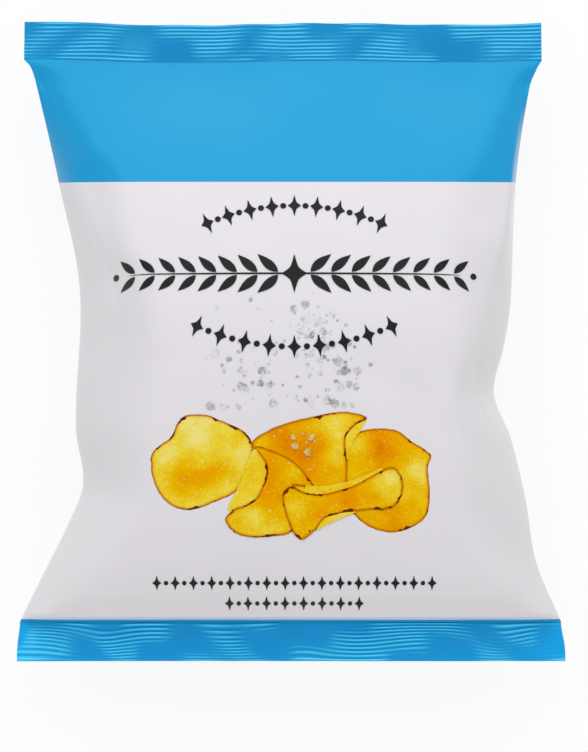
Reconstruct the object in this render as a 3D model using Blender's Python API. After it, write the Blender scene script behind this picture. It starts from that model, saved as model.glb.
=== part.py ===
"""A sealed pillow bag of crisps, lying on its back with its front up.

One film tube is filled, crimped flat across both ends and left plump with gas, so the whole bag
is one closed solid: a ribbed band at each end, and between them a cushion that narrows at its
waist, creases at its corners and is pressed flat where it rests. A fin seam runs down the back.

Units are metres. X runs across the bag, +Y to its top end, +Z out of its front. The origin is
on the surface that the bag lies on, below the centre of its outline.
"""

import math

import bmesh
import bpy

MM = 0.001

# Driving dimensions
LENGTH = 181.5 * MM  # from cut edge to cut edge
BASE_HALF_WIDTH = 76.75 * MM  # half of the flat tube, at the bottom seal
SEAL_DEPTH = 11.0 * MM  # along Y, each end
RIB_COUNT = 10  # ribs across the depth of one seal
RIB_HEIGHT = 0.35 * MM  # from the mean plane of the seal to a rib's crest
FILM = 0.6 * MM  # both plies of a seal, fused
REST_HEIGHT = 26.0 * MM  # of the seals' plane above the table
REST_SOFTNESS = 1.6 * MM  # how gently the back rounds into its flat patch
SEAM_HALF_WIDTH = 5.0 * MM  # the fin seam, folded down against the back
SEAM_STEP = 0.5 * MM  # how far the fin stands off the back
BODY_END = LENGTH / 2 - SEAL_DEPTH

# Mesh density
BODY_ROWS = 34
SIDE_COLUMNS = 13

# Outline of the cushion as (y, distance from the centre line), from the top seal down
LEFT_EDGE = [
    (79.75 * MM, 76.3 * MM),
    (77.6 * MM, 74.4 * MM),
    (72.0 * MM, 72.6 * MM),
    (45.0 * MM, 66.4 * MM),
    (14.0 * MM, 60.1 * MM),
    (-25.0 * MM, 60.9 * MM),
    (-41.0 * MM, 58.7 * MM),
    (-52.0 * MM, 62.6 * MM),
    (-68.0 * MM, 70.4 * MM),
    (-79.75 * MM, 76.0 * MM),
]
RIGHT_EDGE = [
    (79.75 * MM, 71.5 * MM),
    (77.6 * MM, 70.2 * MM),
    (72.0 * MM, 68.0 * MM),
    (45.0 * MM, 63.9 * MM),
    (10.0 * MM, 62.1 * MM),
    (-2.0 * MM, 60.2 * MM),
    (-15.5 * MM, 57.2 * MM),
    (-28.0 * MM, 61.8 * MM),
    (-45.0 * MM, 65.8 * MM),
    (-63.0 * MM, 68.7 * MM),
    (-79.75 * MM, 75.6 * MM),
]

# Height of the front and of the back from the seals' plane along the centre line, as (y, height)
FRONT_CROWN = [
    (79.75 * MM, 0.0),
    (76.0 * MM, 1.7 * MM),
    (68.0 * MM, 5.6 * MM),
    (56.0 * MM, 11.6 * MM),
    (42.0 * MM, 18.3 * MM),
    (25.0 * MM, 25.2 * MM),
    (5.0 * MM, 30.8 * MM),
    (-20.0 * MM, 33.4 * MM),
    (-45.0 * MM, 32.8 * MM),
    (-62.0 * MM, 30.6 * MM),
    (-71.0 * MM, 27.4 * MM),
    (-76.0 * MM, 22.8 * MM),
    (-78.7 * MM, 16.5 * MM),
    (-79.75 * MM, 0.0),
]
BACK_CROWN = [
    (79.75 * MM, 0.0),
    (74.0 * MM, 6.0 * MM),
    (56.0 * MM, 19.0 * MM),
    (25.0 * MM, 29.0 * MM),
    (-15.0 * MM, 31.0 * MM),
    (-50.0 * MM, 26.0 * MM),
    (-73.0 * MM, 9.0 * MM),
    (-79.75 * MM, 0.0),
]

# Folds pressed into the front as (start, end, half width, depth): negative ones stand proud
FRONT_FOLDS = [
    ((-71 * MM, 76 * MM), (-50 * MM, 28 * MM), 6.0 * MM, 2.4 * MM),
    ((68 * MM, 76 * MM), (52 * MM, 34 * MM), 5.5 * MM, 2.2 * MM),
    ((-13 * MM, 75 * MM), (-25 * MM, 44 * MM), 7.0 * MM, 0.9 * MM),
    ((47 * MM, 71 * MM), (37 * MM, 52 * MM), 7.0 * MM, 0.9 * MM),
    ((60 * MM, -14 * MM), (40 * MM, -10 * MM), 5.0 * MM, 2.2 * MM),
    ((-62 * MM, -42 * MM), (-45 * MM, -46 * MM), 5.0 * MM, 1.6 * MM),
    ((-68 * MM, -74 * MM), (-48 * MM, -50 * MM), 5.5 * MM, 1.8 * MM),
    ((67 * MM, -74 * MM), (53 * MM, -50 * MM), 5.5 * MM, 1.8 * MM),
    ((22 * MM, -76 * MM), (18 * MM, -62 * MM), 5.0 * MM, 0.9 * MM),
    ((-34 * MM, -76 * MM), (-30 * MM, -63 * MM), 5.0 * MM, 0.9 * MM),
]


def clear_scene():
    for obj in list(bpy.data.objects):
        bpy.data.objects.remove(obj)


def smooth_curve(stations, y):
    """The value at y of a smooth curve through (y, value) stations that are listed downwards."""
    last = len(stations) - 2
    i = next((k for k in range(last) if y > stations[k + 1][0]), last)

    def slope(k):
        before, after = stations[max(k - 1, 0)], stations[min(k + 1, last + 1)]
        return (after[1] - before[1]) / (after[0] - before[0])

    (y0, v0), (y1, v1) = stations[i], stations[i + 1]
    span = y1 - y0
    t = min(max((y - y0) / span, 0.0), 1.0)
    return (
        v0 * (1 + 2 * t) * (1 - t) ** 2
        + v1 * t * t * (3 - 2 * t)
        + slope(i) * span * t * (1 - t) ** 2
        - slope(i + 1) * span * t * t * (1 - t)
    )


def ease(t):
    t = min(max(t, 0.0), 1.0)
    return t * t * (3 - 2 * t)


def half_widths(y):
    """How far the left and the right edge stand from the centre line at y."""
    if y > BODY_END:
        return LEFT_EDGE[0][1], RIGHT_EDGE[0][1]
    if y < -BODY_END:
        barrel = math.cos(math.pi / 2 * ease((y + LENGTH / 2) / SEAL_DEPTH))
        ends = LEFT_EDGE[-1][1], RIGHT_EDGE[-1][1]
        return tuple(end + (BASE_HALF_WIDTH - end) * barrel for end in ends)
    return smooth_curve(LEFT_EDGE, y), smooth_curve(RIGHT_EDGE, y)


def seal_wave(x, y):
    """Rise of the seals' plane: the top band hangs in two loose waves, the bottom one nearly flat."""
    near_top = ease((y - BODY_END + 30 * MM) / (30 * MM))
    near_base = ease((-y - BODY_END + 20 * MM) / (20 * MM))
    loose = 1.6 * MM * math.sin(x / (13.5 * MM) + 0.9) - 1.1 * MM * math.cos(x / (29 * MM))
    stiff = 0.7 * MM * math.sin(x / (17 * MM) - 0.5)
    return near_top * loose + near_base * stiff


def dome(u, y):
    """Share of the crown's height at u, from -1 to 1 across: rounder at the waist than by a seal."""
    from_seal = ease((BODY_END - abs(y)) / (45 * MM))
    flank = 1.0 - 0.5 * from_seal
    return (1.0 - abs(u) ** 2.3) ** flank


def fold_depth(x, y):
    depth = 0.0
    for (x0, y0), (x1, y1), half_width, deepest in FRONT_FOLDS:
        run_x, run_y = x1 - x0, y1 - y0
        t = ((x - x0) * run_x + (y - y0) * run_y) / (run_x**2 + run_y**2)
        t = min(max(t, 0.0), 1.0)
        aside = math.hypot(x - x0 - t * run_x, y - y0 - t * run_y)
        depth += deepest * math.exp(-((aside / half_width) ** 2)) * (1 - 0.5 * t)
    return depth


def pressed(depth):
    """Depth of the back below the seals' plane once the table has pressed it flat."""
    over = depth - REST_HEIGHT
    if over >= REST_SOFTNESS:
        return REST_HEIGHT
    if over <= -REST_SOFTNESS:
        return depth
    return REST_HEIGHT - (REST_SOFTNESS - over) ** 2 / (4 * REST_SOFTNESS)


def row_stations():
    """(y, rib rise) of every row of the mesh, from the bottom cut edge to the top one."""
    ribs = []
    for half_rib in range(2 * RIB_COUNT):
        rise = RIB_HEIGHT if half_rib % 2 else -RIB_HEIGHT
        ribs.append((SEAL_DEPTH * half_rib / (2 * RIB_COUNT), rise))
    base = [(-LENGTH / 2 + along, rise) for along, rise in ribs]
    body = []
    for row in range(BODY_ROWS + 1):
        angle = math.pi * row / BODY_ROWS
        even = 2 * row / BODY_ROWS - 1
        body.append((BODY_END * (0.45 * even - 0.55 * math.cos(angle)), 0.0))
    top = [(-y, rise) for y, rise in reversed(base)]
    return base + body + top


def column_places(left, right):
    """X of every column of one row: crowded to both edges, with four that frame the fin seam."""
    seam = [-SEAM_HALF_WIDTH - SEAM_STEP, -SEAM_HALF_WIDTH]
    seam += [-x for x in reversed(seam)]
    places = []
    for column in range(SIDE_COLUMNS):
        share = math.cos(math.pi / 2 * column / SIDE_COLUMNS)
        places.append(seam[0] - (left + seam[0]) * share)
    places += seam
    for column in reversed(range(SIDE_COLUMNS)):
        share = math.cos(math.pi / 2 * column / SIDE_COLUMNS)
        places.append(seam[3] + (right - seam[3]) * share)
    return places


def front_point(x, y, u, rise):
    z = seal_wave(x, y) + rise + FILM / 2
    if abs(y) < BODY_END:
        share = dome(u, y)
        z += smooth_curve(FRONT_CROWN, y) * share
        z -= fold_depth(x, y) * min(share * 2, 1.0) * ease((BODY_END - abs(y)) / (8 * MM))
    return x, y, REST_HEIGHT + z


def back_point(x, y, u, rise):
    depth = FILM / 2 - seal_wave(x, y) - rise
    if abs(y) < BODY_END:
        depth += smooth_curve(BACK_CROWN, y) * dome(u, y)
    if abs(x) <= SEAM_HALF_WIDTH:
        depth += SEAM_STEP
    return x, y, REST_HEIGHT - pressed(depth)


def build_bag_mesh():
    """Two sheets of film with the same rows and columns, joined all round their edge."""
    stations = row_stations()
    columns = 2 * SIDE_COLUMNS + 4
    bm = bmesh.new()
    sheets = []
    for point in (front_point, back_point):
        grid = bmesh.ops.create_grid(
            bm, x_segments=columns - 1, y_segments=len(stations) - 1, size=0.5
        )["verts"]
        for row, (y, rise) in enumerate(stations):
            left, right = half_widths(y)
            for column, x in enumerate(column_places(left, right)):
                u = min(max(x / (right if x > 0 else left), -1.0), 1.0)
                grid[row * columns + column].co = point(x, y, u, rise)
        sheets.append(grid)

    front, back = sheets
    rows = len(stations)
    rim = [column for column in range(columns)]
    rim += [row * columns + columns - 1 for row in range(1, rows)]
    rim += [(rows - 1) * columns + column for column in reversed(range(columns - 1))]
    rim += [row * columns for row in reversed(range(1, rows - 1))]
    for here, there in zip(rim, rim[1:] + rim[:1]):
        bm.faces.new((front[here], front[there], back[there], back[here]))
    bmesh.ops.recalc_face_normals(bm, faces=bm.faces)
    bmesh.ops.triangulate(bm, faces=bm.faces)

    mesh = bpy.data.meshes.new("crisp_bag")
    bm.to_mesh(mesh)
    bm.free()
    mesh.shade_smooth()
    mesh.set_sharp_from_angle(angle=math.radians(50))
    return mesh


def film_material():
    """Printed plastic film: a white body colour with a satin gloss."""
    material = bpy.data.materials.new("printed_film")
    material.use_nodes = True
    shader = material.node_tree.nodes["Principled BSDF"]
    shader.inputs["Base Color"].default_value = (0.72, 0.70, 0.73, 1.0)
    shader.inputs["Roughness"].default_value = 0.35
    shader.inputs["Metallic"].default_value = 0.0
    return material


def build():
    clear_scene()
    bag = bpy.data.objects.new("crisp_bag", build_bag_mesh())
    bag.data.materials.append(film_material())
    bpy.context.scene.collection.objects.link(bag)


build()
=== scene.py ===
"""A sealed pillow bag of potato crisps, lying on its back with its printed front up."""
import math
import random

import bpy
import numpy as np
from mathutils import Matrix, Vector
from mathutils.geometry import delaunay_2d_cdt


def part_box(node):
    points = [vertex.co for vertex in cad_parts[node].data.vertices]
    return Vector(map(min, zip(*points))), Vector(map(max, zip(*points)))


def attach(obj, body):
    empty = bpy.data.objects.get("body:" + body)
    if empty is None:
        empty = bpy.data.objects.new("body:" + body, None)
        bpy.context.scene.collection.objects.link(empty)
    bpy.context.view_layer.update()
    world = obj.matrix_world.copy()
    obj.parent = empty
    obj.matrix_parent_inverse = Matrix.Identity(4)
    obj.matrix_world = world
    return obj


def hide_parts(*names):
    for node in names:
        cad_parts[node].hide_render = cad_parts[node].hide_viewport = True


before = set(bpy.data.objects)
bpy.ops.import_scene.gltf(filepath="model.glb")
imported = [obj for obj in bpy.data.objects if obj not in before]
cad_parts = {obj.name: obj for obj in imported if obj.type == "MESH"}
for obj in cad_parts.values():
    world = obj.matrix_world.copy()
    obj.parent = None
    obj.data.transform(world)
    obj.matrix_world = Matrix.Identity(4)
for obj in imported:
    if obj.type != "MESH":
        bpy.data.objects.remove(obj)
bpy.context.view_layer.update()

# The film bag
# One tube of printed plastic film, about a tenth of a millimetre thick. It is formed round a
# filling pipe, crimped flat between ribbed jaws at both ends, and kept plump by the gas in it.

MM = 0.001
bag_low, bag_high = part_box("crisp_bag")
LENGTH = bag_high.y - bag_low.y
BASE_HALF_WIDTH = (bag_high.x - bag_low.x) / 2
SEAL_DEPTH = 11.0 * MM
BODY_END = LENGTH / 2 - SEAL_DEPTH
RIB_COUNT = 10
RIB_HEIGHT = 0.2 * MM
RIB_HALF_WIDTH = 0.21  # of the space from rib to rib
RIB_FOOT = 0.004  # of a rib's height, cut off where neighbours would meet
HIGHLIGHT_SIDE = 0.12  # of a rib's space, from its crest towards the seal's outer edge, where the painted highlight is strongest
PLY = 0.12 * MM
REST_HEIGHT = 26.0 * MM
REST_SOFTNESS = 1.6 * MM
END_BLEND = 45.0 * MM  # from a seal to where the cushion has its full section
FOLD_BLEND = 8.0 * MM  # from a seal to where the folds have their full depth
ROWS_PER_RIB = 9
BODY_ROWS = 150
COLUMNS = 151
TOP_BAND_EDGE = 44.6 * MM
BASE_BAND_EDGE = -79.0 * MM
BAND_LEAN = 0.157  # how far the band edges run down the bag for each unit of height

LEFT_EDGE = [
    (79.75, 76.3), (77.6, 74.4), (72.0, 72.6), (45.0, 66.4), (14.0, 60.1),
    (-25.0, 60.9), (-41.0, 58.7), (-52.0, 62.6), (-68.0, 70.4), (-79.75, 76.0),
]
RIGHT_EDGE = [
    (79.75, 71.5), (77.6, 70.2), (72.0, 68.0), (45.0, 63.9), (10.0, 62.1), (-2.0, 60.2),
    (-15.5, 57.2), (-28.0, 61.8), (-45.0, 65.8), (-63.0, 68.7), (-79.75, 75.6),
]
FRONT_CROWN = [
    (79.75, 0.0), (76.0, 1.7), (68.0, 5.6), (56.0, 11.6), (42.0, 18.3), (25.0, 25.2), (5.0, 30.8),
    (-20.0, 33.4), (-45.0, 32.8), (-62.0, 30.6), (-71.0, 27.4), (-76.0, 22.8), (-78.7, 16.5), (-79.75, 0.0),
]
BACK_CROWN = [
    (79.75, 0.0), (74.0, 6.0), (56.0, 19.0), (25.0, 29.0),
    (-15.0, 31.0), (-50.0, 26.0), (-73.0, 9.0), (-79.75, 0.0),
]
# Width of the steep side wall that shows on either side of the front
LEFT_WALL = [(79.75, 1.0), (57.0, 4.0), (27.0, 7.4), (13.0, 11.0), (-15.0, 12.5), (-45.0, 9.0), (-79.75, 7.0)]
RIGHT_WALL = [(79.75, 1.0), (46.0, 1.8), (27.0, 3.1), (12.0, 6.8), (-15.0, 6.8), (-50.0, 9.0), (-79.75, 6.0)]
# Width of the sloping shoulder between that wall and the front
LEFT_SHOULDER = [
    (79.75, 3.0), (57.0, 4.5), (40.0, 8.0), (27.0, 7.0),
    (12.0, 8.0), (-15.0, 10.7), (-40.0, 8.0), (-79.75, 8.0),
]
RIGHT_SHOULDER = [
    (79.75, 3.0), (60.0, 4.0), (46.0, 6.5), (27.0, 12.7), (12.0, 11.3),
    (-2.0, 7.0), (-11.0, 4.5), (-30.0, 8.0), (-79.75, 8.0),
]
# Shares of the crown's height that the wall and the shoulder climb, and their rounding
WALL_SHARE = 0.56
SHOULDER_SHARE = 0.28
WALL_SOFTNESS = 0.10
SHOULDER_SOFTNESS = 0.2

# Folds pressed into the front as (start, end, half width, depth), in millimetres
FRONT_FOLDS = [
    ((-71, 76), (-50, 28), 6.0, 2.0),
    ((68, 76), (52, 34), 5.5, 2.0),
    ((-13, 75), (-25, 44), 7.0, 0.35),
    ((47, 71), (37, 52), 7.0, 0.4),
    ((60, -14), (44, -11), 6.0, 1.0),
    ((-62, -42), (-45, -46), 5.0, 1.6),
    ((-68, -74), (-48, -50), 5.5, 1.8),
    ((67, -74), (53, -50), 5.5, 1.8),
    ((22, -76), (18, -62), 5.0, 0.9),
    ((-34, -76), (-30, -63), 5.0, 0.9),
    ((3, 66), (-3, 50), 6.0, -0.25),
    ((24, -12), (40, -26), 7.0, 0.9),
    ((-54, 44), (-47, 14), 5.0, 0.8),
    ((-49, -4), (-52, -30), 6.0, 0.7),
    ((50, 40), (49, 10), 6.0, 0.8),
]
# Folds pressed into the back, in the same way
BACK_FOLDS = [
    ((-70, 74), (-40, 40), 5.0, 1.8),
    ((66, 74), (38, 40), 5.0, 1.8),
    ((-70, -74), (-42, -45), 5.0, 1.8),
    ((70, -74), (44, -42), 5.0, 1.8),
    ((-61, 6), (-42, 2), 5.5, 1.3),
    ((-60, -40), (-43, -36), 5.5, 1.6),
    ((60, 8), (44, 12), 5.5, 1.3),
    ((58, -15), (40, -18), 6.0, 1.7),
    ((-20, 76), (-26, 56), 5.0, 0.8),
    ((26, 76), (20, 58), 5.0, 0.8),
]


def through(stations, y):
    """Smooth curve through (y, value) stations in millimetres, read at many y in metres."""
    ys = np.array([s[0] for s in reversed(stations)]) * MM
    values = np.array([s[1] for s in reversed(stations)]) * MM
    slopes = np.empty_like(values)
    slopes[1:-1] = (values[2:] - values[:-2]) / (ys[2:] - ys[:-2])
    slopes[0] = (values[1] - values[0]) / (ys[1] - ys[0])
    slopes[-1] = (values[-1] - values[-2]) / (ys[-1] - ys[-2])
    y = np.clip(y, ys[0], ys[-1])
    i = np.clip(np.searchsorted(ys, y) - 1, 0, len(ys) - 2)
    span = ys[i + 1] - ys[i]
    t = (y - ys[i]) / span
    return (
        values[i] * (1 + 2 * t) * (1 - t) ** 2
        + values[i + 1] * t * t * (3 - 2 * t)
        + slopes[i] * span * t * (1 - t) ** 2
        - slopes[i + 1] * span * t * t * (1 - t)
    )


def ease(t):
    t = np.clip(t, 0.0, 1.0)
    return t * t * (3 - 2 * t)


def half_widths(y):
    """Distances of the bag's left and right edges from its middle line."""
    barrel = np.cos(math.pi / 2 * ease((y + LENGTH / 2) / SEAL_DEPTH))
    widths = []
    for edge in (LEFT_EDGE, RIGHT_EDGE):
        end = edge[-1][1] * MM
        swell = np.where(y < -BODY_END, (BASE_HALF_WIDTH - end) * barrel, 0.0)
        widths.append(through(edge, y) + swell)
    return widths


def seal_wave(x, y):
    """Rise of the seals' plane: both bands hang in loose waves, the top one more than the base."""
    near_top = ease((y - BODY_END + 30 * MM) / (30 * MM))
    near_base = ease((-y - BODY_END + 20 * MM) / (20 * MM))
    top_edge = ease((y - BODY_END + 5 * MM) / (14 * MM))
    base_edge = ease((-y - BODY_END + 3 * MM) / (12 * MM))
    loose = 1.6 * np.sin(x / (13.5 * MM) + 0.9) - 1.1 * np.cos(x / (29 * MM))
    flutter = 0.45 * np.sin(x / (3.6 * MM) + 2.0 * np.sin(x / (21 * MM)))
    stiff = 0.7 * np.sin(x / (17 * MM) - 0.5)
    ruffle = 0.35 * np.sin(x / (3.1 * MM) + 2.4 * np.sin(x / (17 * MM) + 1.0))
    return MM * (near_top * loose + near_base * stiff + top_edge * flutter + base_edge * ruffle)


def rib_bite(x, y):
    """How deep the jaws bit, from 0 to 1: in patches, because the film lay unevenly between them."""
    x, along = x / MM, (np.abs(y) - BODY_END) / MM
    side = np.where(y > 0, 0.0, 2.3)
    patches = np.sin(x / 5.1 + 1.6 * np.sin(x / 23 + side) + 0.22 * along + side)
    patches = patches + 0.7 * np.sin(x / 2.7 - 0.5 * along + 2 * side)
    patches = patches + 0.8 * np.sin(x / 14 + 0.35 * along - side)
    return 0.5 + 0.5 * np.tanh(1.8 * patches - 0.3)


def rib_crest(x, y, side):
    """How near each place is to the crest of a deep rib, or to its slope on one side, from 0 to 1."""
    along = np.maximum(np.abs(y) - BODY_END, 0.0) / SEAL_DEPTH
    crooked = np.where(y > 0, 0.12, 0.5) * np.sin(x / (17 * MM) + 1.2 * np.sin(x / (9 * MM)) + 1.0)
    along = along + crooked * 0.3 * np.sin(math.pi * np.minimum(along, 1.0))
    aside = (RIB_COUNT * along) % 1.0 - 0.5 - side
    return rib_bite(x, y) * np.exp(-((aside / RIB_HALF_WIDTH) ** 2))


def rib_rise(x, y):
    """Ribs pressed across each seal."""
    return RIB_HEIGHT * (rib_crest(x, y, 0.0) - RIB_FOOT)


def fold_depth(folds, x, y):
    """Depth of the folds, each one shallower towards its end."""
    depth = np.zeros_like(x)
    for (x0, y0), (x1, y1), half_width, deepest in folds:
        run_x, run_y = (x1 - x0) * MM, (y1 - y0) * MM
        t = ((x - x0 * MM) * run_x + (y - y0 * MM) * run_y) / (run_x**2 + run_y**2)
        t = np.clip(t, 0.0, 1.0)
        aside = np.hypot(x - x0 * MM - t * run_x, y - y0 * MM - t * run_y)
        depth += deepest * MM * np.exp(-((aside / (half_width * MM)) ** 2)) * (1 - 0.5 * t)
    return depth


def pucker(x, y):
    """Small gathers where the film of the cushion runs into a seal."""
    wave = np.sin(x / (3.4 * MM) + 1.8 * np.sin(x / (15 * MM)) + np.where(y > 0, 0.0, 1.3))
    return 0.16 * MM * wave * np.exp(-(BODY_END - np.abs(y)) / (6 * MM))


def soft_top(t, softness):
    """t up to 1, then level, rounded over by softness."""
    return t - softness * np.logaddexp(0.0, (t - 1) / softness)


def front_share(x, y):
    """Share of the crown's height that the front reaches: a steep wall, a shoulder, a low dome."""
    left, right = half_widths(y)
    reach = np.where(x < 0, left, right)
    wall = np.where(x < 0, through(LEFT_WALL, y), through(RIGHT_WALL, y))
    inward = np.clip(reach - np.abs(x), 0.0, None)
    from_seal = ease((BODY_END - np.abs(y)) / END_BLEND)
    steepness = 1.0 - 0.25 * from_seal
    shoulder = np.where(x < 0, through(LEFT_SHOULDER, y), through(RIGHT_SHOULDER, y))
    wall_rise = np.clip(soft_top(inward / wall, WALL_SOFTNESS), 0.0, 1.0) ** steepness
    shoulder_rise = np.clip(soft_top((inward - wall) / shoulder, SHOULDER_SOFTNESS), 0.0, 1.0)
    dome = 1 - np.clip(np.abs(x) / reach, 0.0, 1.0) ** 2
    rest = 1 - WALL_SHARE - SHOULDER_SHARE
    return WALL_SHARE * wall_rise + SHOULDER_SHARE * shoulder_rise + rest * dome


def front_height(x, y):
    """Height of the printed front above the floor."""
    share = front_share(x, y)
    rise = through(FRONT_CROWN, y) * share
    edge = ease((BODY_END - np.abs(y)) / FOLD_BLEND)
    rise -= (fold_depth(FRONT_FOLDS, x, y) - pucker(x, y)) * np.minimum(share * 2, 1.0) * edge
    return REST_HEIGHT + seal_wave(x, y) + rib_rise(x, y) + PLY + rise


def back_height(x, y):
    """Height of the back above the floor, pressed flat where the bag rests."""
    left, right = half_widths(y)
    across = np.clip(np.abs(x) / np.where(x < 0, left, right), 0.0, 1.0)
    from_seal = ease((BODY_END - np.abs(y)) / END_BLEND)
    share = (1.0 - across**2.3) ** (1.0 - 0.5 * from_seal)
    edge = ease((BODY_END - np.abs(y)) / FOLD_BLEND)
    depth = PLY - seal_wave(x, y) - rib_rise(x, y) + through(BACK_CROWN, y) * share
    depth -= (fold_depth(BACK_FOLDS, x, y) - 2 * pucker(x, y)) * np.minimum(share * 2, 1.0) * edge
    over = depth - REST_HEIGHT
    rounded = REST_HEIGHT - (REST_SOFTNESS - over) ** 2 / (4 * REST_SOFTNESS)
    pressed = np.where(over > REST_SOFTNESS, REST_HEIGHT, np.where(over < -REST_SOFTNESS, depth, rounded))
    return REST_HEIGHT - pressed


def skin_rows():
    """Nominal y of every row, with rows on both band edges, from the base to the top."""
    seal = np.linspace(0, SEAL_DEPTH, RIB_COUNT * ROWS_PER_RIB + 1)[:-1]
    even = np.linspace(-1, 1, BODY_ROWS + 1)
    body = BODY_END * (0.45 * even + 0.55 * np.sin(math.pi / 2 * even))
    for edge in (TOP_BAND_EDGE, BASE_BAND_EDGE):
        body[np.argmin(np.abs(body - edge))] = edge
    return np.concatenate([-LENGTH / 2 + seal, body, (LENGTH / 2 - seal)[::-1]])


def grid_mesh(name, points_front, points_back, face_slot):
    """A closed skin of two grids that share their rows and columns, joined round the rim."""
    rows, columns = points_front.shape[:2]
    vertices = np.concatenate([points_front.reshape(-1, 3), points_back.reshape(-1, 3)])
    index = np.arange(rows * columns).reshape(rows, columns)
    quad = np.stack([index[:-1, :-1], index[:-1, 1:], index[1:, 1:], index[1:, :-1]], axis=-1).reshape(-1, 4)
    rim = np.concatenate([index[0, :], index[1:, -1], index[-1, -2::-1], index[-2:0:-1, 0]])
    ahead = np.roll(rim, -1)
    under = rows * columns
    side = np.stack([ahead, rim, rim + under, ahead + under], axis=-1)
    faces = np.concatenate([quad, quad[:, ::-1] + under, side])
    row_slot = np.repeat(face_slot, columns - 1)
    rim_row = rim // columns
    side_row = np.minimum(np.minimum(rim_row, ahead // columns), rows - 2)
    slots = np.concatenate([row_slot, row_slot, face_slot[side_row]])
    mesh = bpy.data.meshes.new(name)
    mesh.from_pydata(vertices.tolist(), [], faces.tolist())
    mesh.polygons.foreach_set("material_index", slots.astype(np.int32))
    mesh.update()
    return mesh


rows = skin_rows()
across = np.sin(math.pi / 2 * np.linspace(-1, 1, COLUMNS))
row_y = np.repeat(rows[:, None], COLUMNS, axis=1)
row_left, row_right = half_widths(row_y)
row_x = across * np.where(across < 0, row_left, row_right)
lean = BAND_LEAN * ease((BODY_END - np.abs(row_y)) / (30 * MM))


def leaned(height):
    """Rows lowered along the bag as they climb, so that a band edge is straight seen from above."""
    y = row_y.copy()
    for _ in range(4):
        y = row_y - lean * (height(row_x, y) - REST_HEIGHT)
    return y


front_y = leaned(front_height)
front_points = np.stack([row_x, front_y, front_height(row_x, front_y)], axis=-1)
back_points = np.stack([row_x, row_y, back_height(row_x, row_y)], axis=-1)
row_middle = (rows[:-1] + rows[1:]) / 2


def band_slot(y):
    """0 for white film, 1 for blue, 2 for blue crimped at the top, darker as painted shade, and 3 for blue
    crimped at the base, paler as painted light.
    """
    blue = np.where((y > TOP_BAND_EDGE) | (y < BASE_BAND_EDGE), 1, 0)
    crimped = np.where(y > BODY_END, 2, blue)
    return np.where(y < -BODY_END - 0.5 * MM, 3, crimped)


FILM_IOR = 1.65
FILM_MOTTLE = 0.025  # of the colour, lighter and darker
ROUGHNESS_MOTTLE = 0.05


def film_material(name, colour, crest_highlight_colour, shine, gleam, roughness):
    """Glossy printed film with a faint mottle, and with a lighter colour painted beside the rib crests as a
    highlight.
    """
    material = bpy.data.materials.new(name)
    material.use_nodes = True
    tree = material.node_tree
    shader = tree.nodes["Principled BSDF"]
    shader.inputs["Specular Tint"].default_value = (*shine, 1)
    shader.inputs["Specular IOR Level"].default_value = gleam
    shader.inputs["IOR"].default_value = FILM_IOR
    place = tree.nodes.new("ShaderNodeTexCoord")
    mottle = tree.nodes.new("ShaderNodeTexNoise")
    mottle.inputs["Scale"].default_value = 45
    mottle.inputs["Detail"].default_value = 5
    tree.links.new(place.outputs["Object"], mottle.inputs["Vector"])
    tint = tree.nodes.new("ShaderNodeMix")
    tint.data_type = "RGBA"
    tint.inputs["A"].default_value = (*(c * (1 - FILM_MOTTLE) for c in colour), 1)
    tint.inputs["B"].default_value = (*(min(c * (1 + FILM_MOTTLE), 1) for c in colour), 1)
    tree.links.new(mottle.outputs["Fac"], tint.inputs["Factor"])
    # Painted highlight: a lighter colour mixed in by a per-point attribute, standing in for glints on the
    # seal ribs
    crest_highlight = tree.nodes.new("ShaderNodeAttribute")
    crest_highlight.attribute_name = "crest_highlight"
    with_crest_highlight = tree.nodes.new("ShaderNodeMix")
    with_crest_highlight.data_type = "RGBA"
    tree.links.new(crest_highlight.outputs["Fac"], with_crest_highlight.inputs["Factor"])
    tree.links.new(tint.outputs["Result"], with_crest_highlight.inputs["A"])
    with_crest_highlight.inputs["B"].default_value = (*crest_highlight_colour, 1)
    tree.links.new(with_crest_highlight.outputs["Result"], shader.inputs["Base Color"])
    gloss = tree.nodes.new("ShaderNodeMapRange")
    gloss.inputs["To Min"].default_value = roughness - ROUGHNESS_MOTTLE
    gloss.inputs["To Max"].default_value = roughness + ROUGHNESS_MOTTLE
    tree.links.new(mottle.outputs["Fac"], gloss.inputs["Value"])
    tree.links.new(gloss.outputs["Result"], shader.inputs["Roughness"])
    grain = tree.nodes.new("ShaderNodeTexNoise")
    grain.inputs["Scale"].default_value = 900
    grain.inputs["Detail"].default_value = 3
    tree.links.new(place.outputs["Object"], grain.inputs["Vector"])
    bump = tree.nodes.new("ShaderNodeBump")
    bump.inputs["Strength"].default_value = 0.06
    bump.inputs["Distance"].default_value = 0.1 * MM
    tree.links.new(grain.outputs["Fac"], bump.inputs["Height"])
    tree.links.new(bump.outputs["Normal"], shader.inputs["Normal"])
    return material


WHITE_FILM = (0.66, 0.637, 0.668)
BLUE_FILM = (0.01, 0.262, 0.56)
BLUE_SHINE = (0.21, 1.0, 0.74)
SEAL_SHINE = (0.22, 1.0, 0.80)
film_materials = [
    film_material("white_printed_film", WHITE_FILM, WHITE_FILM, (1, 1, 1), 0.08, 0.22),
    film_material("blue_printed_film", BLUE_FILM, BLUE_FILM, BLUE_SHINE, 0.28, 0.22),
    # The crimped films are the blue film in other colours: the top one darker, as painted shade, and the base
    # one paler, as painted light where the bag's bulge keeps the lamp off the base seal
    film_material("blue_crimped_film_painted_shade", (0.0, 0.19, 0.49), (0.06, 0.46, 0.82), SEAL_SHINE, 0.5, 0.15),
    film_material("blue_crimped_base_film_painted_light", (0.0, 0.30, 0.73), (0.09, 0.70, 1.0), SEAL_SHINE, 0.5, 0.15),
]


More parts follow.
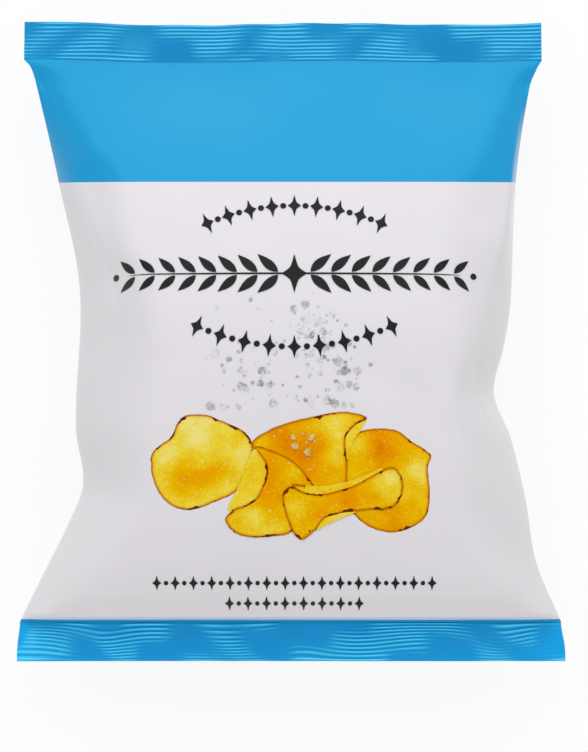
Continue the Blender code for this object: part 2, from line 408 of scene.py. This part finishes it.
def film_piece(name, points_front, points_back, face_slot):
    """A skin of film as a piece, with the places of the painted rib highlight marked."""
    piece = bpy.data.objects.new(name, grid_mesh(name, points_front, points_back, face_slot))
    x, y = (np.concatenate([points_front[..., k].ravel(), points_back[..., k].ravel()]) for k in (0, 1))
    # Painted highlight: set beside each deep rib crest in the seals, towards the seal's outer edge
    crest_highlight = piece.data.attributes.new("crest_highlight", "FLOAT", "POINT")
    in_seal = ease((np.abs(y) - BODY_END) / (0.8 * MM))
    crest_highlight.data.foreach_set("value", (in_seal * rib_crest(x, y, HIGHLIGHT_SIDE)).astype(np.float32))
    for material in film_materials:
        piece.data.materials.append(material)
    piece.data.shade_smooth()
    bpy.context.scene.collection.objects.link(piece)
    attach(piece, "root")
    return piece


film = film_piece("film_bag", front_points, back_points, band_slot(row_middle))
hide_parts("crisp_bag")

# The fin seam
# The two edges of the film, welded inside to inside down the middle of the back. The fin that
# they make is folded over to one side and lies flat on the back, under the bag.

FIN_HALF_WIDTH = 5.0 * MM
FIN_THICKNESS = 0.5 * MM
FIN_SUNK = 0.05 * MM  # into the back of the bag
FIN_ROWS = 241
FIN_COLUMNS = 9

fin_y = np.repeat(np.linspace(-BODY_END, BODY_END, FIN_ROWS)[:, None], FIN_COLUMNS, axis=1)
fin_across = np.linspace(-1, 1, FIN_COLUMNS)
fin_edge = FIN_HALF_WIDTH + 0.25 * MM * np.sin(fin_y / (9 * MM)) * (fin_across > 0)
fin_x = fin_across * fin_edge
fin_rest = back_height(fin_x, fin_y)
fin_lift = FIN_THICKNESS * (1 + 0.3 * fin_across * np.sin(fin_y / (6.5 * MM)))
fin_upper = np.stack([fin_x, fin_y, fin_rest + FIN_SUNK], axis=-1)
fin_under = np.stack([fin_x, fin_y, np.maximum(fin_rest - fin_lift, 0.0)], axis=-1)
fin_middle = (fin_y[:-1, 0] + fin_y[1:, 0]) / 2
film_piece("fin_seam", fin_upper, fin_under, band_slot(fin_middle))

# The printed crisps
# Five golden crisps in a heap, printed on the lower half of the front. They are flat ink under
# the film's varnish, so each one is a thin patch that lies on the film and shares its gloss.

INK_LIFT = 0.04 * MM  # of one layer of ink off the layer below
PRINT_SHIFT = (-1.3, -1.35)  # of the print from the middle of the bag
CRISPS = [
    # name, layer, tone at rest, (a, b, c) where a x + b y > c has no browned rim, outline,
    # (x, y, radius, change of tone) of its paler and deeper parts
    ("left_round", 1, 0.25, (0, 0, 1),
     [(-8.9, -31.6), (-11.2, -27.3), (-18, -24), (-22, -22.6), (-27, -22.8), (-29.4, -25), (-31, -28.5),
      (-35.8, -32.4), (-36.4, -36.5), (-35, -42), (-31.5, -46.5), (-26, -48.1), (-20, -46.3),
      (-13, -42.8), (-10, -36.5)],
     [(-25, -27, 6, -0.26), (-32, -35, 4, -0.1), (-27, -40, 5, 0.36), (-20, -38, 5, 0.26),
      (-27, -46.5, 4, -0.16), (-14, -34, 4, -0.06)]),
    ("right_round", 1, 0.5, (0, 0, 1),
     [(15.4, -39), (16.6, -31.5), (19.5, -27.3), (25, -26.3), (30, -27), (33.4, -29.6), (38.6, -33.2),
      (37.9, -37), (38.4, -44), (37.2, -50), (32, -53.3), (26.5, -54), (20.5, -51.5), (15.8, -46)],
     [(25, -31, 4.5, 0.26), (29, -34, 5, 0.14), (18.5, -31, 3.5, -0.34), (35.5, -37, 4, -0.34),
      (34, -44, 4, -0.1), (28, -52, 6, 0.2)]),
    ("middle_corner", 2, 0.3, (0, 0, -1),
     [(21.4, -23.6), (19.8, -26.8), (17.8, -29.8), (16.6, -34), (15, -35.5), (15.2, -28.6), (17.6, -25.2)],
     [(18, -27, 3, -0.1)]),
    ("middle_top", 3, 0.6, (0, 0, 1),
     [(-9.3, -30.2), (-5.5, -27.2), (0.5, -24.8), (7, -23.2), (14, -21.9), (18.3, -22.2), (21.6, -23.6),
      (18.2, -25.6), (15.8, -29), (16.1, -35), (15.4, -42), (7, -43.5), (3.5, -39), (-2, -35), (-7, -33)],
     [(-1, -28.5, 4, 0.3), (5, -33, 4, 0.4), (13, -25.5, 5, -0.46), (13.5, -34, 3.4, -0.34),
      (-7, -29.6, 2, -0.2)]),
    ("lower_body", 4, 0.55, (0, 0, 1),
     [(-8.8, -31.9), (-4, -32.3), (-0.5, -33.6), (3, -36), (5.4, -39), (7.4, -43), (3, -50), (1.2, -54),
      (-3, -55), (-9.5, -55.4), (-14, -54), (-16.4, -50.6), (-14, -48), (-9, -44)],
     [(-3, -38.5, 4, 0.16), (-4, -44.5, 4, 0.22), (-10, -51.5, 5, -0.34), (-2, -52.5, 4, -0.18),
      (2, -38.5, 2, -0.2)]),
    ("lower_flap", 5, 0.24, (-0.92, 0.39, -5.2),
     [(-8.8, -32), (-5.7, -34.6), (-4.9, -38.3), (-6.2, -42.4), (-8, -45.4), (-11, -47.2), (-15.6, -48.2),
      (-13.6, -43.4), (-11.6, -38.8)],
     [(-9, -38, 4, 0.1), (-10, -44, 3, -0.08)]),
    ("front_underside", 6, 0.2, (0, 0, -1),
     [(9.2, -51), (7.6, -53.6), (11, -51.9), (15.2, -50), (18.4, -48.6), (13.4, -48.6)],
     [(12, -51, 3, 0.05)]),
    ("front_back_strip", 6, 0.3, (1, 0, 5),
     [(1.4, -41.3), (5.5, -41.6), (11, -41.5), (15.6, -40.6), (20, -39.3), (25.4, -36.8), (24, -39.8),
      (15, -44), (7, -45), (3.4, -43.4)],
     [(11, -42.4, 5, 0.06)]),
    ("front_saddle", 7, 0.46, (0, 0, 1),
     [(1.2, -41.8), (4, -43.1), (7.4, -43.8), (11.4, -43.6), (19, -41.1), (26, -37.3), (29.2, -37),
      (31, -40), (30.8, -44.2), (28, -47.5), (22, -48.1), (15.5, -48.8), (10.4, -50.3), (7.6, -53.6),
      (4.2, -56), (1.6, -53.8), (-0.6, -48), (-1, -43.8)],
     [(3, -47, 3, -0.2), (4, -53, 2.4, 0.08), (9, -48, 3, 0.26), (16, -46.2, 4, 0.34), (23, -44.5, 3, 0.1),
      (27.5, -40.5, 3.5, -0.34)]),
]


def closed_curve(points, steps):
    """Points along a smooth closed curve through the given ones."""
    curve = []
    count = len(points)
    for i in range(count):
        a, b, c, d = (np.array(points[(i + k) % count], float) for k in (-1, 0, 1, 2))
        for step in range(steps):
            t = step / steps
            square, cube = 2 * a - 5 * b + 4 * c - d, 3 * b - a - 3 * c + d
            curve.append(0.5 * (2 * b + (c - a) * t + square * t**2 + cube * t**3))
    return curve


def fill_outline(outline, spacing):
    """(points, triangles) that fill a closed outline, with points inside it every so far apart."""
    outline = np.array(outline)
    low, high = outline.min(axis=0), outline.max(axis=0)
    xs, ys = np.meshgrid(np.arange(low[0], high[0], spacing), np.arange(low[1], high[1], spacing))
    inner = np.stack([xs.ravel(), ys.ravel()], axis=-1)
    ahead = np.roll(outline, -1, axis=0)
    crossed = np.zeros(len(inner), bool)
    for (ax, ay), (bx, by) in zip(outline, ahead):
        if ay != by:
            within = (inner[:, 1] < ay) != (inner[:, 1] < by)
            crossed ^= within & (inner[:, 0] < (bx - ax) * (inner[:, 1] - ay) / (by - ay) + ax)
    far = rim_distance(inner, outline) > 0.4 * spacing
    points = np.concatenate([outline, inner[crossed & far]])
    ring = [(i, (i + 1) % len(outline)) for i in range(len(outline))]
    found = delaunay_2d_cdt([Vector(p) for p in points.tolist()], ring, [], 1, 1e-5)
    return np.array([tuple(p) for p in found[0]]), [tuple(face) for face in found[2]]


def rim_distance(points, outline):
    """Distance of each point from the nearest stretch of the outline."""
    nearest = np.full(len(points), 1e9)
    for a, b in zip(outline, np.roll(outline, -1, axis=0)):
        run = b - a
        t = np.clip(((points - a) @ run) / max(run @ run, 1e-12), 0, 1)
        nearest = np.minimum(nearest, np.hypot(*(points - a - t[:, None] * run).T))
    return nearest


def lay_on_film(points, layer):
    """Points of the print's plan, in millimetres, put on the bag's front."""
    x, y = (points[:, 0] + PRINT_SHIFT[0]) * MM, (points[:, 1] + PRINT_SHIFT[1]) * MM
    return np.stack([x, y, front_height(x, y) + layer * INK_LIFT], axis=-1)


def print_piece(name, vertices, faces, values, material):
    """One patch of ink as a piece; values holds what its material reads at each point."""
    mesh = bpy.data.meshes.new(name)
    mesh.from_pydata(vertices.tolist(), [], faces)
    for key, value in values.items():
        attribute = mesh.attributes.new(key, "FLOAT", "POINT")
        attribute.data.foreach_set("value", np.asarray(value, np.float32))
    mesh.materials.append(material)
    mesh.shade_smooth()
    piece = bpy.data.objects.new(name, mesh)
    bpy.context.scene.collection.objects.link(piece)
    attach(piece, "root")
    return piece


def gloss_like_film(shader, shine):
    """The gloss of the varnish over the ink."""
    shader.inputs["Roughness"].default_value = 0.25
    shader.inputs["Specular IOR Level"].default_value = 0.5
    shader.inputs["Specular Tint"].default_value = (*shine, 1)


def crisp_ink():
    """Golden ink: pale to deep by the tone of each place, browned and spotted along the rim."""
    material = bpy.data.materials.new("crisp_ink")
    material.use_nodes = True
    tree = material.node_tree
    shader = tree.nodes["Principled BSDF"]
    gloss_like_film(shader, (0.8, 0.45, 0.0))

    def node(kind, **settings):
        made = tree.nodes.new(kind)
        for key, value in settings.items():
            setattr(made, key, value)
        return made

    def noise(scale, detail):
        made = node("ShaderNodeTexNoise")
        made.inputs["Scale"].default_value = scale
        made.inputs["Detail"].default_value = detail
        tree.links.new(place.outputs["Object"], made.inputs["Vector"])
        return made.outputs["Fac"]

    def maths(operation, a, b):
        made = node("ShaderNodeMath", operation=operation)
        for socket, value in zip(made.inputs, (a, b)):
            if isinstance(value, (int, float)):
                socket.default_value = value
            else:
                tree.links.new(value, socket)
        return made.outputs[0]

    def ramp(value, stops):
        made = node("ShaderNodeValToRGB")
        made.color_ramp.elements.remove(made.color_ramp.elements[1])
        for i, (position, colour) in enumerate(stops):
            stop = made.color_ramp.elements[0] if i == 0 else made.color_ramp.elements.new(position)
            stop.position = position
            stop.color = (*colour, 1)
        tree.links.new(value, made.inputs[0])
        return made.outputs["Color"]

    def mix(factor, a, b):
        made = node("ShaderNodeMix", data_type="RGBA")
        tree.links.new(factor, made.inputs["Factor"])
        for key, value in (("A", a), ("B", b)):
            if isinstance(value, tuple):
                made.inputs[key].default_value = (*value, 1)
            else:
                tree.links.new(value, made.inputs[key])
        return made.outputs["Result"]

    place = node("ShaderNodeTexCoord")
    tone = node("ShaderNodeAttribute", attribute_name="tone").outputs["Fac"]
    rim = node("ShaderNodeAttribute", attribute_name="rim").outputs["Fac"]
    cloud = maths("MULTIPLY", maths("SUBTRACT", noise(190, 5), 0.5), 0.75)
    grit = maths("MULTIPLY", maths("SUBTRACT", noise(1900, 4), 0.5), 0.6)
    body = ramp(maths("ADD", maths("ADD", tone, cloud), grit), [
        (0.0, (0.74, 0.65, 0.19)),
        (0.2, (0.73, 0.57, 0.035)),
        (0.45, (0.71, 0.42, 0.0)),
        (0.7, (0.70, 0.285, 0.0)),
        (1.0, (0.62, 0.17, 0.0)),
    ])
    speck = maths("MULTIPLY", maths("GREATER_THAN", noise(1150, 0), 0.78), 0.3)
    body = mix(speck, body, (0.78, 0.68, 0.32))
    warm = ramp(rim, [
        (0.0, (1, 1, 1)),
        (0.34, (0.9, 0.9, 0.9)),
        (0.55, (0.35, 0.35, 0.35)),
        (1.0, (0, 0, 0)),
    ])
    warmed = mix(warm, body, (0.44, 0.115, 0.0))
    spots = noise(330, 2)
    width = maths("MULTIPLY", maths("SUBTRACT", spots, 0.49), 4.4)
    dark = maths("GREATER_THAN", width, rim)
    scorch = ramp(spots, [
        (0.5, (0.32, 0.06, 0.0)),
        (0.55, (0.19, 0.015, 0.001)),
        (0.62, (0.08, 0.003, 0.002)),
    ])
    tree.links.new(mix(dark, warmed, scorch), shader.inputs["Base Color"])
    return material


CURVE_STEPS = 7
RIM_RAGGEDNESS = 0.05
CRISP_SPACING = 0.6
NO_RIM = 2.0  # further from the rim than any browning reaches

crisp_material = crisp_ink()
for name, layer, rest_tone, bare, corners, blooms in CRISPS:
    outline = closed_curve(corners, CURVE_STEPS)
    ragged = random.Random(name)
    outline = [
        p + np.array([ragged.gauss(0, RIM_RAGGEDNESS), ragged.gauss(0, RIM_RAGGEDNESS)]) for p in outline
    ]
    points, faces = fill_outline(outline, CRISP_SPACING)
    tone = np.full(len(points), rest_tone)
    for x, y, radius, change in blooms:
        tone += change * np.exp(-((points[:, 0] - x) ** 2 + (points[:, 1] - y) ** 2) / radius**2)
    rim = rim_distance(points, np.array(outline))
    rim += np.where(points @ np.array(bare[:2]) > bare[2], NO_RIM, 0.0)
    values = {"tone": tone, "rim": rim}
    print_piece("printed_crisp_" + name, lay_on_film(points, layer), faces, values, crisp_material)

# The printed salt
# Angular grains of salt, falling towards the crisps: each one a few grey facets of ink.

SALT_FALLS = [
    # x, y, spread across, spread along, grains, largest grain
    (9.5, 2.0, 3.4, 3.4, 46, 2.3),
    (7, -6, 6.0, 3.4, 34, 2.1),
    (-11, -13, 4.6, 5.0, 36, 2.7),
    (17, -13, 4.0, 5.0, 24, 2.5),
    (6, -18, 9.0, 1.8, 18, 2.2),
    (-8, 4, 7.0, 3.5, 8, 1.4),
]
CRISP_SALT_FALL = [(5, -29.5, 4.6, 1.8, 12, 2.4)]
SALT_EDGE = -20.5  # no grain of the first falls lies below this line
CRISP_SALT_EDGE = -34
SALT_LAYER = 2
CRISP_SALT_LAYER = 8.5  # above the topmost crisp


def salt_ink(name, dark, pale):
    """Ink of salt grains, from dark to pale by the tone of each facet, with a frosty grain."""
    material = bpy.data.materials.new(name)
    material.use_nodes = True
    tree = material.node_tree
    shader = tree.nodes["Principled BSDF"]
    gloss_like_film(shader, (1, 1, 1))
    tone = tree.nodes.new("ShaderNodeAttribute")
    tone.attribute_name = "tone"
    place = tree.nodes.new("ShaderNodeTexCoord")
    frost = tree.nodes.new("ShaderNodeTexNoise")
    frost.inputs["Scale"].default_value = 1500
    tree.links.new(place.outputs["Object"], frost.inputs["Vector"])
    level = tree.nodes.new("ShaderNodeMath")
    level.operation = "MULTIPLY_ADD"
    level.inputs[1].default_value = 0.3
    tree.links.new(frost.outputs["Fac"], level.inputs[0])
    tree.links.new(tone.outputs["Fac"], level.inputs[2])
    shade = tree.nodes.new("ShaderNodeMix")
    shade.data_type = "RGBA"
    shade.inputs["A"].default_value = (*dark, 1)
    shade.inputs["B"].default_value = (*pale, 1)
    tree.links.new(level.outputs[0], shade.inputs["Factor"])
    tree.links.new(shade.outputs["Result"], shader.inputs["Base Color"])
    return material


def scatter_salt(name, falls, lowest, layer, material):
    """Grains scattered round the middle of each fall, small ones more often than large ones."""
    points = []
    faces = []
    tones = []
    for x, y, spread_x, spread_y, count, largest in falls:
        for _ in range(count):
            middle = np.array([grains.gauss(x, spread_x), grains.gauss(y, spread_y)])
            middle[1] = max(middle[1], lowest)
            radius = 0.2 + largest / 2 * grains.random() ** 2.2
            corners = grains.randint(5, 7)
            turn = grains.random() * math.tau
            faint = grains.uniform(0.1, 0.75)
            ring = []
            for k in range(corners):
                angle = turn + math.tau * k / corners
                reach = radius * grains.uniform(0.6, 1.15)
                ring.append(middle + reach * np.array([math.cos(angle), math.sin(angle)]))
            ridge = middle + radius * 0.3 * np.array([math.cos(turn), math.sin(turn)])
            for k in range(corners):
                tone = faint + grains.uniform(-0.25, 0.4)
                first = len(points)
                points += [ring[k], ring[(k + 1) % corners], ridge]
                tones += [tone, tone + 0.1, tone]
                faces.append((first, first + 1, first + 2))
    print_piece(name, lay_on_film(np.array(points), layer), faces, {"tone": tones}, material)


grains = random.Random(11)
grey_salt = salt_ink("grey_salt_ink", (0.13, 0.13, 0.14), (0.62, 0.60, 0.63))
scatter_salt("printed_salt", SALT_FALLS, SALT_EDGE, SALT_LAYER, grey_salt)
gold_salt = salt_ink("golden_salt_ink", (0.26, 0.16, 0.06), (0.68, 0.48, 0.17))
scatter_salt("printed_salt_on_crisps", CRISP_SALT_FALL, CRISP_SALT_EDGE, CRISP_SALT_LAYER, gold_salt)

# The printed ornaments
# Plain dark ornaments where such a bag has its wording: a leafy garland across the front, a
# beaded arc above and below it, and two short beaded rules near the base.

GARLAND_HEIGHT = 16.2
GARLAND_MIDDLE = 2.1
LEAF_PAIRS = 8
LEAF_STEP = 5.6
LEAF_ANGLE = math.radians(42)
ARC_BEADS = 17
ARC_ANGLE = math.radians(49)
ORNAMENT_SPACING = 0.8
ORNAMENT_LAYER = 4


def ornament_ink():
    material = bpy.data.materials.new("dark_ink")
    material.use_nodes = True
    tree = material.node_tree
    shader = tree.nodes["Principled BSDF"]
    gloss_like_film(shader, (0.15, 0.15, 0.15))
    place = tree.nodes.new("ShaderNodeTexCoord")
    wear = tree.nodes.new("ShaderNodeTexNoise")
    wear.inputs["Scale"].default_value = 70
    tree.links.new(place.outputs["Object"], wear.inputs["Vector"])
    shade = tree.nodes.new("ShaderNodeMix")
    shade.data_type = "RGBA"
    shade.inputs["A"].default_value = (0.006, 0.006, 0.007, 1)
    shade.inputs["B"].default_value = (0.02, 0.018, 0.02, 1)
    tree.links.new(wear.outputs["Fac"], shade.inputs["Factor"])
    tree.links.new(shade.outputs["Result"], shader.inputs["Base Color"])
    return material


def placed(shape, x, y, angle):
    """A shape turned by an angle and moved to its place."""
    c, s = math.cos(angle), math.sin(angle)
    return [(x + c * px - s * py, y + s * px + c * py) for px, py in shape]


def leaf(length, width):
    """A pointed leaf along +X from its stalk."""
    upper = [(length * t, width / 2 * math.sin(math.pi * t**0.8)) for t in np.linspace(0, 1, 11)]
    return upper + [(x, -y * 0.8) for x, y in reversed(upper[1:-1])]


def lozenge(width, height):
    """A lozenge with slightly hollow sides."""
    shape = []
    for k in range(4):
        a, b = math.pi / 2 * k, math.pi / 2 * (k + 1)
        for t in np.linspace(0, 1, 5)[:-1]:
            pinch = 1 - 0.35 * math.sin(math.pi * t)
            px = (1 - t) * math.cos(a) + t * math.cos(b)
            py = (1 - t) * math.sin(a) + t * math.sin(b)
            shape.append((px * width / 2 * pinch, py * height / 2 * pinch))
    return shape


def dot(radius):
    return [(radius * math.cos(a), radius * math.sin(a)) for a in np.linspace(0, math.tau, 13)[:-1]]


def ribbon(x0, x1, thickness):
    """A thin straight line that tapers to both ends."""
    along = np.linspace(0, 1, 41)
    upper = [(x0 + (x1 - x0) * t, thickness / 2 * math.sin(math.pi * t) ** 0.4) for t in along]
    return upper + [(x, -y) for x, y in reversed(upper[1:-1])]


shapes = [placed(ribbon(-46, 46, 0.5), GARLAND_MIDDLE, GARLAND_HEIGHT, 0)]
shapes.append(placed(lozenge(7, 11), GARLAND_MIDDLE, GARLAND_HEIGHT, 0))
for side in (-1, 1):
    for k in range(LEAF_PAIRS):
        size = 1 - 0.035 * k
        stalk = GARLAND_MIDDLE + side * (4.4 + LEAF_STEP * k)
        for up in (-1, 1):
            angle = up * LEAF_ANGLE if side > 0 else math.pi - up * LEAF_ANGLE
            y = GARLAND_HEIGHT + up * 0.45
            shapes.append(placed(leaf(7.6 * size, 2.9 * size), stalk, y, angle))
    shapes.append(placed(dot(0.9), GARLAND_MIDDLE + side * 49.2, GARLAND_HEIGHT, 0))
# The two arcs, by the height of their crown and their radius
for crown_y, radius, side in ((35.9, 57.5, 1), (-4.2, 63.4, -1)):
    for k in range(ARC_BEADS):
        angle = side * math.pi / 2 - side * ARC_ANGLE * (k / (ARC_BEADS - 1) - 0.5)
        middle_y = crown_y - side * radius
        x, y = GARLAND_MIDDLE + radius * math.cos(angle), middle_y + radius * math.sin(angle)
        bead = lozenge(3.7, 6.4) if k % 2 == 0 else dot(0.85)
        shapes.append(placed(bead, x, y, angle - math.pi / 2))
# The two rules
for y, half_length in ((-67.6, 37), (-73.1, 17.5)):
    beads = 2 * round(half_length / 2.5) + 1
    for k in range(beads):
        x = GARLAND_MIDDLE + half_length * (2 * k / (beads - 1) - 1)
        bead = lozenge(2.5, 4.0) if k % 2 == 0 else dot(0.6)
        shapes.append(placed(bead, x, y, 0))

ink_points = []
ink_faces = []
count = 0
for shape in shapes:
    points, faces = fill_outline(shape, ORNAMENT_SPACING)
    ink_points.append(points)
    ink_faces += [tuple(i + count for i in face) for face in faces]
    count += len(points)
ornament_points = lay_on_film(np.concatenate(ink_points), ORNAMENT_LAYER)
print_piece("printed_ornaments", ornament_points, ink_faces, {}, ornament_ink())

# The floor, the light and the camera
# A plain white sweep under the bag, one large soft lamp above its top end, a strip lamp beyond
# either end, and a camera that looks down on the front, a little from the base end.

FLOOR_SIZE = 6.0
FLOOR_GLOW = 0.85  # share of its plain white that the camera and gloss see; the rest takes shadow
WORLD_LEVEL = 0.835  # of white, as a light on the bag
LAMP_AIM = Vector((0, 0, 0.03))
floor_mesh = bpy.data.meshes.new("floor")
half = FLOOR_SIZE / 2
floor_corners = [(-half, -half, 0), (half, -half, 0), (half, half, 0), (-half, half, 0)]
floor_mesh.from_pydata(floor_corners, [], [(0, 1, 2, 3)])
floor = bpy.data.objects.new("floor", floor_mesh)
bpy.context.scene.collection.objects.link(floor)
floor_material = bpy.data.materials.new("white_floor")
floor_material.use_nodes = True
tree = floor_material.node_tree
tree.nodes.clear()
out = tree.nodes.new("ShaderNodeOutputMaterial")
mix = tree.nodes.new("ShaderNodeMixShader")
matt = tree.nodes.new("ShaderNodeBsdfDiffuse")
matt.inputs["Color"].default_value = (0.9, 0.9, 0.9, 1)
glow = tree.nodes.new("ShaderNodeEmission")
path = tree.nodes.new("ShaderNodeLightPath")
seen = tree.nodes.new("ShaderNodeMath")
seen.operation = "MULTIPLY"
seen.inputs[1].default_value = FLOOR_GLOW
either = tree.nodes.new("ShaderNodeMath")
either.operation = "MAXIMUM"
tree.links.new(path.outputs["Is Camera Ray"], either.inputs[0])
tree.links.new(path.outputs["Is Glossy Ray"], either.inputs[1])
tree.links.new(either.outputs[0], seen.inputs[0])
tree.links.new(seen.outputs[0], mix.inputs[0])
tree.links.new(matt.outputs[0], mix.inputs[1])
tree.links.new(glow.outputs[0], mix.inputs[2])
tree.links.new(mix.outputs[0], out.inputs["Surface"])
floor_mesh.materials.append(floor_material)

world = bpy.data.worlds.new("studio")
bpy.context.scene.world = world
world.use_nodes = True
tree = world.node_tree
tree.nodes.clear()
out = tree.nodes.new("ShaderNodeOutputWorld")
background = tree.nodes.new("ShaderNodeBackground")
path = tree.nodes.new("ShaderNodeLightPath")
level = tree.nodes.new("ShaderNodeMapRange")
background.inputs["Color"].default_value = (1, 1, 1, 1)
level.inputs["To Min"].default_value = WORLD_LEVEL
level.inputs["To Max"].default_value = 1.0
either = tree.nodes.new("ShaderNodeMath")
either.operation = "MAXIMUM"
tree.links.new(path.outputs["Is Camera Ray"], either.inputs[0])
tree.links.new(path.outputs["Is Glossy Ray"], either.inputs[1])
tree.links.new(either.outputs[0], level.inputs["Value"])
tree.links.new(level.outputs["Result"], background.inputs["Strength"])
tree.links.new(background.outputs[0], out.inputs["Surface"])

lamp_data = bpy.data.lights.new("soft_lamp", "AREA")
lamp_data.shape = "RECTANGLE"
lamp_data.size = 1.0
lamp_data.size_y = 0.94
lamp_data.energy = 3.7
lamp = bpy.data.objects.new("soft_lamp", lamp_data)
lamp.location = (0.0, 0.67, 0.63)
lamp.rotation_euler = (LAMP_AIM - lamp.location).to_track_quat("-Z", "Y").to_euler()
bpy.context.scene.collection.objects.link(lamp)

STRIPS = [
    ("top_strip", (0.0, 0.82, 0.17), 0.9),
    ("base_strip", (0.0, -0.66, 0.40), 0.55),
]
for name, spot, power in STRIPS:
    strip_data = bpy.data.lights.new(name, "AREA")
    strip_data.shape = "RECTANGLE"
    strip_data.size = 0.9
    strip_data.size_y = 0.08
    strip_data.energy = power
    strip = bpy.data.objects.new(name, strip_data)
    strip.location = spot
    strip.rotation_euler = (LAMP_AIM - strip.location).to_track_quat("-Z", "Y").to_euler()
    bpy.context.scene.collection.objects.link(strip)

CAMERA_DISTANCE = 0.65
CAMERA_LEAN = math.radians(5)
camera_data = bpy.data.cameras.new("camera")
camera_data.lens = 110
camera = bpy.data.objects.new("camera", camera_data)
target = Vector((0.7 * MM, -10.65 * MM, REST_HEIGHT))
back = Vector((0, -math.sin(CAMERA_LEAN), math.cos(CAMERA_LEAN)))
camera.location = target + CAMERA_DISTANCE * back
camera.rotation_euler = (CAMERA_LEAN, 0, 0)
bpy.context.scene.collection.objects.link(camera)
bpy.context.scene.camera = camera
bpy.context.scene.view_settings.view_transform = "Standard"
